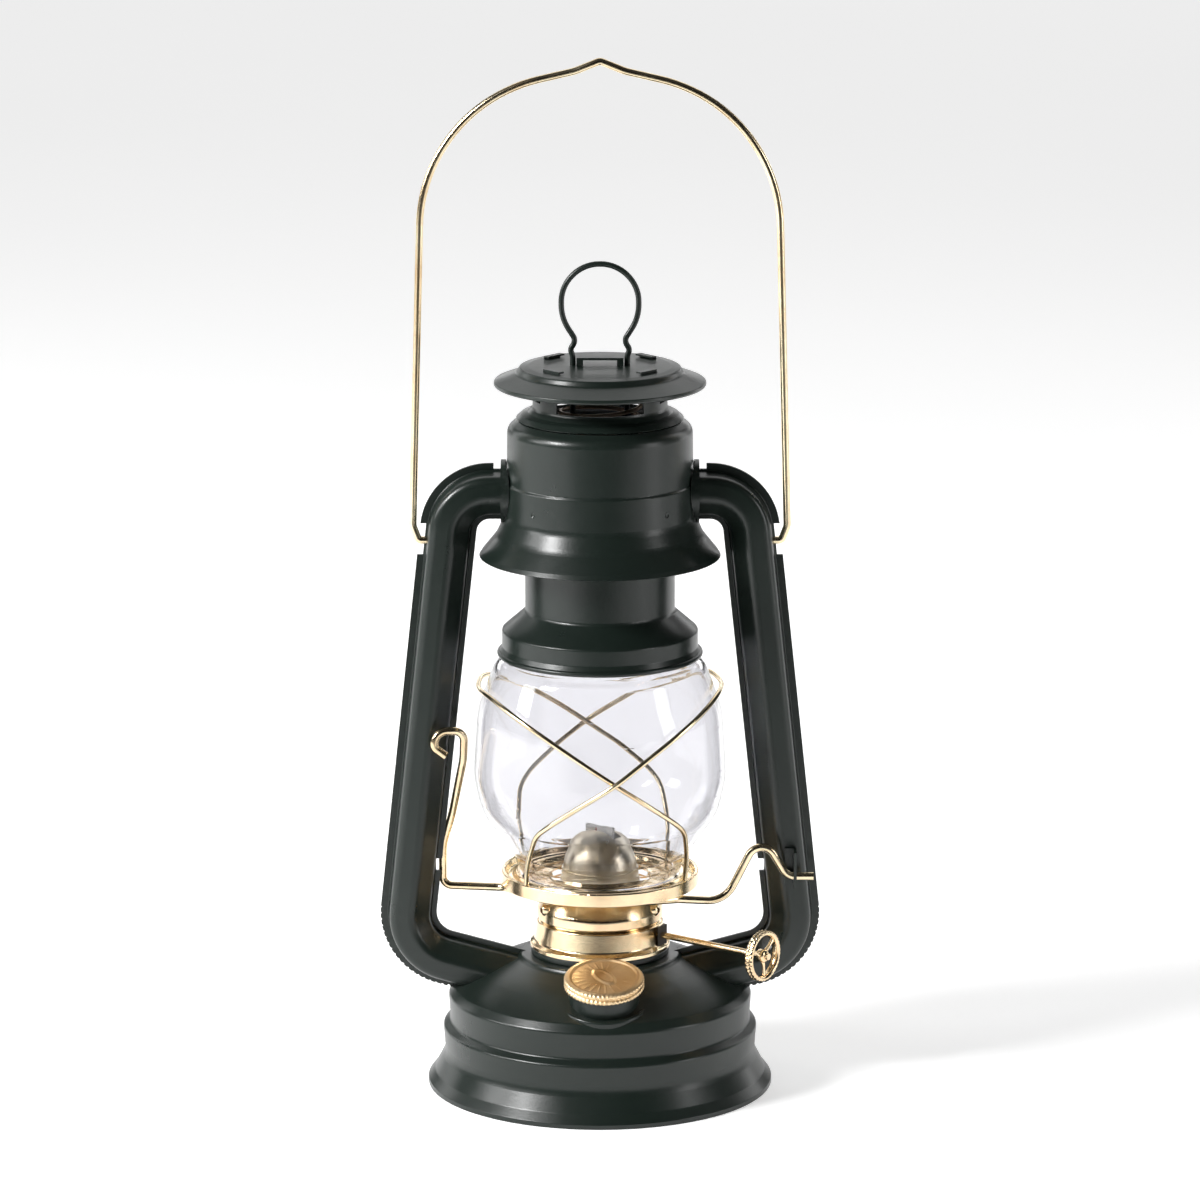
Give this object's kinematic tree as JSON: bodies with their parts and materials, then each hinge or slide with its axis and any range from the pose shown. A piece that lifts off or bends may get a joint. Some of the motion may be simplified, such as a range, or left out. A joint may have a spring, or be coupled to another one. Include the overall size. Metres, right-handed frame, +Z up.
{
  "type": "barn lantern",
  "caption": "Tubular hot-blast oil lantern with side air tubes, clear globe in a wire guard, flat-wick burner, screw-cap tank and wire bail.",
  "frame": {"origin": "centre of the tank's foot on the ground", "axes": "+Z up along the lantern's axis, -Y towards the fuel cap, -X towards the thumb hook"},
  "size_m": [0.1528, 0.12, 0.3598],
  "materials": {
    "black_paint": "satin charcoal black enamel",
    "brass": "polished stamped brass",
    "brass_wire": "bright drawn brass-plated wire",
    "clear_glass": "clear pressed glass",
    "wick_cotton": "woven cotton",
    "spring_steel": "browned spring steel",
    "gasket_rubber": "matte",
    "dark_packing": "matte dark"
  },
  "bodies": {
    "lantern_frame": {"tank_shell": "black_paint", "tank_bottom": "black_paint", "filler_neck": "black_paint", "filler_shoulder": "black_paint", "burner_collar": "black_paint", "left_tube_front": "black_paint", "left_tube_rear": "black_paint", "right_tube_front": "black_paint", "right_tube_rear": "black_paint", "left_tube_collar": "black_paint", "right_tube_collar": "black_paint", "canopy": "black_paint", "vent_collar": "black_paint", "hood": "black_paint", "ring_bridge": "black_paint", "return_spring": "spring_steel", "lift_wire_ear": "black_paint", "burner_base": "brass", "burner_gallery": "brass", "air_deck": "brass", "burner_cone": "brass", "wick_tube": "brass", "shaft_bearing": "dark_packing"},
    "bail": {"bail": "brass_wire"},
    "globe_carriage": {"globe_plate": "brass", "globe": "clear_glass", "guard_wire_left": "brass_wire", "guard_wire_right": "brass_wire"},
    "lift_lever": {"lift_wire": "brass_wire"},
    "chimney": {"chimney": "black_paint", "ring_crossbar": "black_paint", "lift_ring": "black_paint"},
    "wick_spindle": {"wick_shaft": "brass", "wick_sprockets": "brass", "wick_knob": "brass"},
    "wick": {"wick": "wick_cotton"},
    "cap_thread": {"cap_gasket": "gasket_rubber"},
    "fuel_cap": {"fuel_cap": "brass"}
  },
  "joints": [
    {"name": "bail_swing", "type": "hinge", "parent": "lantern_frame", "child": "bail", "pos_m": [0, 0, 0.193], "axis": [1, 0, 0], "range_deg": [-155, 155]},
    {"name": "globe_lift", "type": "slide", "parent": "lantern_frame", "child": "globe_carriage", "axis": [0, 0, 1], "range_m": [0, 0.005]},
    {"name": "lever_tilt", "type": "hinge", "parent": "lantern_frame", "child": "lift_lever", "pos_m": [0.0674, -0.0135, 0.077], "axis": [0, 1, 0], "range_deg": [0, 3.05]},
    {"name": "chimney_lift", "type": "slide", "parent": "globe_carriage", "child": "chimney", "axis": [0, 0, 1], "range_m": [0, 0.013], "stiffness_N_per_m": 60, "springref_m": -0.02, "deforming": ["return_spring"]},
    {"name": "wick_turn", "type": "hinge", "parent": "lantern_frame", "child": "wick_spindle", "pos_m": [0.0033, 0.0044, 0.0546], "axis": [0.8007, -0.599, 0], "range_deg": [-90, 110]},
    {"name": "wick_feed", "type": "slide", "parent": "lantern_frame", "child": "wick", "axis": [0, 0, 1], "range_m": [-0.0077, 0.0064]},
    {"name": "cap_rise", "type": "slide", "parent": "lantern_frame", "child": "cap_thread", "axis": [0, -0.225, 0.9744], "range_m": [0, 0.0046]},
    {"name": "cap_turn", "type": "hinge", "parent": "cap_thread", "child": "fuel_cap", "pos_m": [0.0014, -0.0368, 0.0378], "axis": [0, -0.225, 0.9744], "range_deg": [0, 900]}
  ],
  "couplings": [
    {"joint": "lever_tilt", "follows": "globe_lift", "rad_per_m": 10.48},
    {"joint": "wick_feed", "follows": "wick_turn", "m_per_rad": -0.0039},
    {"joint": "cap_rise", "follows": "cap_turn", "m_per_rad": 0.00028648}
  ]
}
